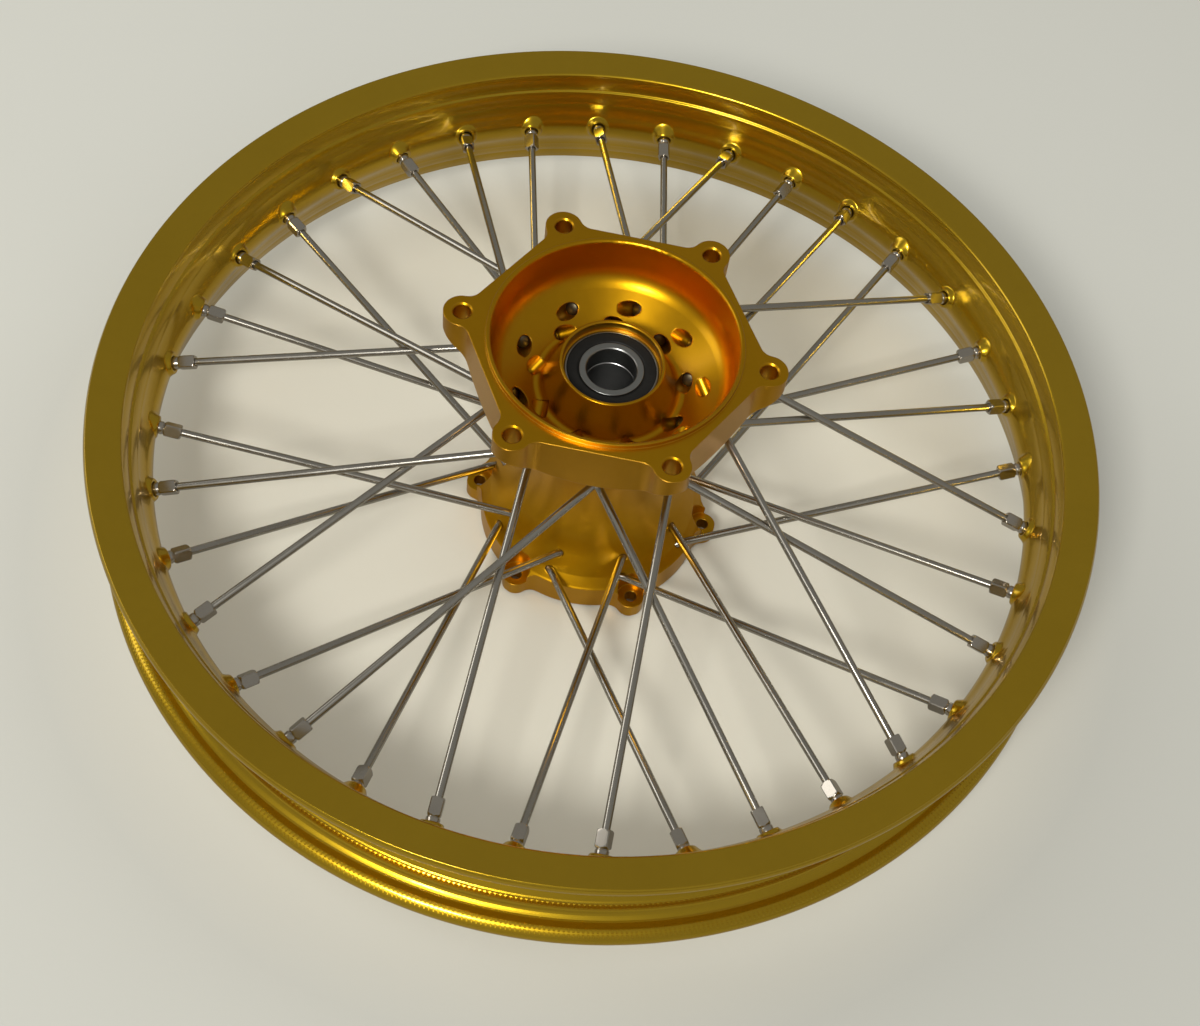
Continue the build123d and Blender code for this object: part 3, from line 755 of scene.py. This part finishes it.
def half_dome(side, start):
    """Closed half dome on one side of the slot, numbered from start."""
    top, bottom = [], []
    for row in range(DOME_ROWS + 1):
        y = DOME_EDGE_Y
        if row < DOME_ROWS:
            y = SLOT_HALF + (DOME_R - SLOT_HALF) * (1 - (1 - row / DOME_ROWS) ** 1.6)
        half_width = math.sqrt(DOME_R ** 2 - y * y) + 1e-3
        for column in range(DOME_COLUMNS + 1):
            x = -half_width * math.cos(math.pi * column / DOME_COLUMNS)
            share = min(1.0, math.hypot(x, y) / DOME_R)
            top.append((x, side * y, DOME_Z + DOME_HEIGHT * math.sqrt(1 - share ** 2.4)))
            bottom.append((x, side * y, DOME_BASE_Z))

    def at(layer, row, column):
        return start + layer * len(top) + row * (DOME_COLUMNS + 1) + column

    faces = []
    last_row, last = DOME_ROWS, DOME_COLUMNS
    for r in range(DOME_ROWS):
        for c in range(DOME_COLUMNS):
            faces.append((at(0, r, c), at(0, r, c + 1), at(0, r + 1, c + 1), at(0, r + 1, c)))
            faces.append((at(1, r, c), at(1, r + 1, c), at(1, r + 1, c + 1), at(1, r, c + 1)))
    for c in range(DOME_COLUMNS):
        faces.append((at(0, 0, c), at(1, 0, c), at(1, 0, c + 1), at(0, 0, c + 1)))
        faces.append((at(0, last_row, c), at(0, last_row, c + 1),
                      at(1, last_row, c + 1), at(1, last_row, c)))
    for r in range(DOME_ROWS):
        faces.append((at(0, r, 0), at(0, r + 1, 0), at(1, r + 1, 0), at(1, r, 0)))
        faces.append((at(0, r, last), at(1, r, last), at(1, r + 1, last), at(0, r + 1, last)))
    return np.array(top + bottom), faces


def nipple_mesh():
    """Square key part, round collar and domed slotted head."""
    angles = np.linspace(0, TAU, NIPPLE_SIDES, endpoint=False) + math.pi / NIPPLE_SIDES
    square = np.array([square_radius(angle) for angle in angles])
    circle = np.ones(NIPPLE_SIDES)
    rings = [(z, r * circle) for z, r in MOUTH_PROFILE]
    rings += [(z, np.minimum(square, r)) for z, r in KEY_PROFILE]
    rings += [(z, r * circle) for z, r in COLLAR_PROFILE]
    parts = [np.stack([r * np.cos(angles), r * np.sin(angles), z * circle], -1)
             for z, r in rings]
    faces = loft_faces(len(rings), NIPPLE_SIDES)
    count = len(rings) * NIPPLE_SIDES
    for side in (1, -1):
        points, dome_faces = half_dome(side, count)
        parts.append(points)
        faces += dome_faces
        count += len(points)
    return np.concatenate(parts), faces


def build_nipples(group, lacing, points, faces, rng):
    """Each nipple stands at its own odd angle, as hand-tightened ones do."""
    u, v = across(lacing.outward)
    copies = []
    for _ in range(PER_GROUP):
        angle = math.radians(rng.uniform(-45, 45))
        c, s = math.cos(angle), math.sin(angle)
        x = points[:, 0] * c - points[:, 1] * s
        y = points[:, 0] * s + points[:, 1] * c
        copies.append(lacing.tip + x[:, None] * u + y[:, None] * v
                      + points[:, 2:3] * lacing.outward)
    face_outward(mesh_piece("nipple_set_" + group, *group_mesh(copies, faces), NIPPLE,
                            "nipple_plated", "nipples_" + group, sharp_angle=32))


nipple_points, nipple_faces = nipple_mesh()
nipple_rng = np.random.RandomState(7)
for group, lacing in LACING.items():
    build_nipples(group, lacing, nipple_points, nipple_faces, nipple_rng)

# ------------------------------------------------- knurled bead seat and lips
# band: count, start and end on the section (radius, z), rib width, height, and slant (mm
# round the rim from start to end)
KNURLS = {
    "bead_knurl_": (620, (240.98, 19.45), (241.62, 22.9), 1.35, 0.40, 0.0),
    "flange_knurl_": (700, (249.6, 27.38), (251.9, 28.1), 1.2, 0.34, 0.0),
    "lip_knurl_": (700, (252.2, 28.3), (253.9, 29.5), 1.2, 0.30, 0.5),
}
RIB_SINK, RIB_ROOT, RIB_TOP_WIDTH = -0.08, -0.25, 0.55
RIB_FACES = [(0, 1, 3, 2), (2, 3, 5, 4), (4, 5, 7, 6), (0, 2, 4, 6, 10, 8),
             (1, 9, 11, 7, 5, 3), (0, 8, 9, 1), (6, 7, 11, 10), (8, 10, 11, 9)]


def ribs(name, side, count, start, end, width, height, slant):
    """Small raised ribs between two section points, spaced round the rim."""
    start, end = np.array(start), np.array(end)
    along = unit(end - start)
    normal = np.array([along[1], -along[0]])       # away from the metal
    # pairs of points: share of the length, lift off the surface, share of the width;
    # the last two pairs close the shell below the surface
    pairs = [(0.0, RIB_SINK, 1.0), (0.12, height, RIB_TOP_WIDTH),
             (0.88, height, RIB_TOP_WIDTH), (1.0, RIB_SINK, 1.0),
             (0.0, RIB_ROOT, 1.0), (1.0, RIB_ROOT, 1.0)]
    points, faces = [], []
    for i in range(count):
        base = len(points)
        for share, lift, width_share in pairs:
            r, z = start + (end - start) * share + normal * lift
            for edge in (-1, 1):
                shift = edge * (width / 2 * width_share) + slant * share
                angle = TAU * i / count + shift / r
                points.append((r * math.cos(angle), r * math.sin(angle), side * z))
        faces += [tuple(base + j for j in face) for face in RIB_FACES]
    face_outward(mesh_piece(name, np.array(points), faces, RIM_GOLD, "rim_anodised"))


for side, tag in ((-1, "disc_side"), (1, "sprocket_side")):
    for band, sizes in KNURLS.items():
        ribs(band + tag, side, *sizes)

# ----------------------------------------------------- finishes on CAD pieces
CAD_FINISHES = {"hub": HUB_GOLD, "distance_tube": TUBE}
for side in ("sprocket", "disc"):
    CAD_FINISHES |= {
        side + "_bearing_outer_ring": STEEL,
        side + "_bearing_inner_ring": STEEL,
        side + "_bearing_balls": BALL,
        side + "_bearing_cage": CAGE,
        side + "_bearing_outboard_seal": RUBBER,
        side + "_bearing_inboard_seal": RUBBER,
    }
for node, finish in CAD_FINISHES.items():
    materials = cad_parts[node].data.materials
    materials.clear()
    materials.append(finish)


# --------------------------------------------------------------------- table
def table_material():
    mat = bpy.data.materials.new("pale_table")
    sh = Shader(mat)
    place = sh.coordinates("Object")
    from_axle = sh.add("ShaderNodeVectorMath", {0: place}, operation="LENGTH").outputs["Value"]

    # painted light: the cloth colour is lifted inside the wheel, within 0.20 to 0.30 m of the
    # axle, to brighten the shade under the rim and hub
    mottle = sh.noise(place, scale=3.0, detail=8.0)
    cloth = sh.mix(mottle, (0.575, 0.575, 0.53, 1), (0.61, 0.61, 0.565, 1))
    # painted light mask: 1 inside the wheel, fading to 0 between 0.20 and 0.30 m from the axle
    middle = sh.ramp(from_axle, 0.20, 0.30, 1.0, 0.0)
    cloth = sh.mix(middle, cloth, (0.84, 0.81, 0.70, 1))

    # light falls off towards the near edge of the table, and the metal sees a
    # duller table than the camera does
    falloff = sh.ramp(sh.split(place)[2], -0.42, 0.12, 0.80, 1.0)
    glossy = sh.add("ShaderNodeLightPath").outputs["Is Glossy Ray"]
    dulled = sh.ramp(glossy, 0.0, 1.0, 1.0, 0.58)
    shaded = sh.add("ShaderNodeVectorMath", {
        0: cloth, "Scale": sh.math("MULTIPLY", falloff, dulled)}, operation="SCALE")

    weave = sh.noise(place, scale=260.0, detail=6.0)
    bump = sh.add("ShaderNodeBump", {"Strength": 0.12, "Distance": 0.0004, "Height": weave})
    principled = sh.add("ShaderNodeBsdfPrincipled", {
        "Base Color": shaded.outputs[0], "Normal": bump.outputs[0],
        "Roughness": 0.55, "Specular IOR Level": 0.25})

    # clear from behind, and right under the hub, so light reaches its far side
    under_hub = sh.math("LESS_THAN", from_axle, 0.054)
    behind = sh.add("ShaderNodeNewGeometry").outputs["Backfacing"]
    transparent = sh.add("ShaderNodeBsdfTransparent")
    mixed = sh.add("ShaderNodeMixShader", {
        0: sh.math("MAXIMUM", under_hub, behind),
        1: principled.outputs[0], 2: transparent.outputs[0]})
    sh.add("ShaderNodeOutputMaterial", {0: mixed.outputs[0]})
    return mat


TABLE_HALF = 5
TABLE_GAP = 0.0004                   # below the lowest point of the wheel
table_mesh = bpy.data.meshes.new("table_top")
table_mesh.from_pydata([(x * TABLE_HALF, 0, z * TABLE_HALF)
                        for x, z in ((-1, -1), (1, -1), (1, 1), (-1, 1))], [], [(0, 1, 2, 3)])
table = bpy.data.objects.new("table_top", table_mesh)
scene.collection.objects.link(table)
table.location = (0, REST_HI.y + TABLE_GAP, 0)
table_mesh.materials.append(table_material())


# ----------------------------------------------------------- room and lights
def build_room():
    """Plain surroundings: one tone for the camera, one for fill, a ramp for reflections."""
    world = bpy.data.worlds.new("room")
    scene.world = world
    sh = Shader(world)
    ray = sh.add("ShaderNodeLightPath").outputs
    # 1 towards -Z, 0 towards +Z
    height = sh.ramp(sh.split(sh.coordinates("Generated"))[2], -0.9, 0.9, 1.0, 0.0)
    reflected = sh.mix(height, (0.25, 0.245, 0.225, 1), (0.285, 0.28, 0.262, 1))
    lit = sh.mix(ray["Is Diffuse Ray"], reflected, (0.74, 0.735, 0.70, 1))
    seen = sh.mix(ray["Is Camera Ray"], lit, (0.66, 0.65, 0.59, 1))
    background = sh.add("ShaderNodeBackground", {0: seen, 1: 1.0})
    sh.add("ShaderNodeOutputWorld", {0: background.outputs[0]})


def area_light(name, direction, distance, size, power, colour):
    """Square light, set off in a direction from the origin and aimed at it."""
    light = bpy.data.lights.new(name, "AREA")
    light.energy = power
    light.color = colour
    light.shape = "RECTANGLE"
    light.size = light.size_y = size
    ob = bpy.data.objects.new(name, light)
    scene.collection.objects.link(ob)
    direction = Vector(direction).normalized()
    ob.location = direction * distance
    ob.rotation_euler = (-direction).to_track_quat("-Z", "Y").to_euler()


build_room()
area_light("key", direction=(-0.30, -0.72, -0.62), distance=2.0, size=0.40, power=21,
           colour=(1, 0.98, 0.93))
area_light("window", direction=(-0.95, -0.55, 0.25), distance=2.4, size=1.1, power=7,
           colour=(1, 0.99, 0.95))

# -------------------------------------------------------------------- camera
# the view turns the layout about Y, then X (radians); view axes run right, down, forward
VIEW_TURN_X, VIEW_TURN_Y = 2.5905929341977307, 0.10537561572891344
LAYOUT_ORIGIN_IN_VIEW = np.array([-18.529955, -47.066470, 920.219971])      # mm
SENSOR_WIDTH, LENS = 36.0, 52.832847
SHIFT_X, SHIFT_Y = -0.0288766666667, 0.0215158333333


def build_camera():
    cx, sx = math.cos(VIEW_TURN_X), math.sin(VIEW_TURN_X)
    cy, sy = math.cos(VIEW_TURN_Y), math.sin(VIEW_TURN_Y)
    turn_x = np.array([[1, 0, 0], [0, cx, -sx], [0, sx, cx]])
    turn_y = np.array([[cy, 0, sy], [0, 1, 0], [-sy, 0, cy]])
    view = turn_x @ turn_y
    right, down, forward = frame_axes(view)
    pose = np.eye(4)
    pose[:3, 0] = right
    pose[:3, 1] = -down
    pose[:3, 2] = -forward
    pose[:3, 3] = to_frame(-view.T @ LAYOUT_ORIGIN_IN_VIEW)

    data = bpy.data.cameras.new("camera")
    camera = bpy.data.objects.new("camera", data)
    scene.collection.objects.link(camera)
    camera.matrix_world = Matrix(pose.tolist())
    data.sensor_fit = "HORIZONTAL"
    data.sensor_width = SENSOR_WIDTH
    data.lens = LENS
    data.shift_x, data.shift_y = SHIFT_X, SHIFT_Y
    data.clip_start, data.clip_end = 0.01, 50
    scene.camera = camera


build_camera()

scene.view_settings.view_transform = "Standard"
scene.view_settings.look = "None"
scene.view_settings.exposure = 0.0
scene.view_settings.gamma = 1.0
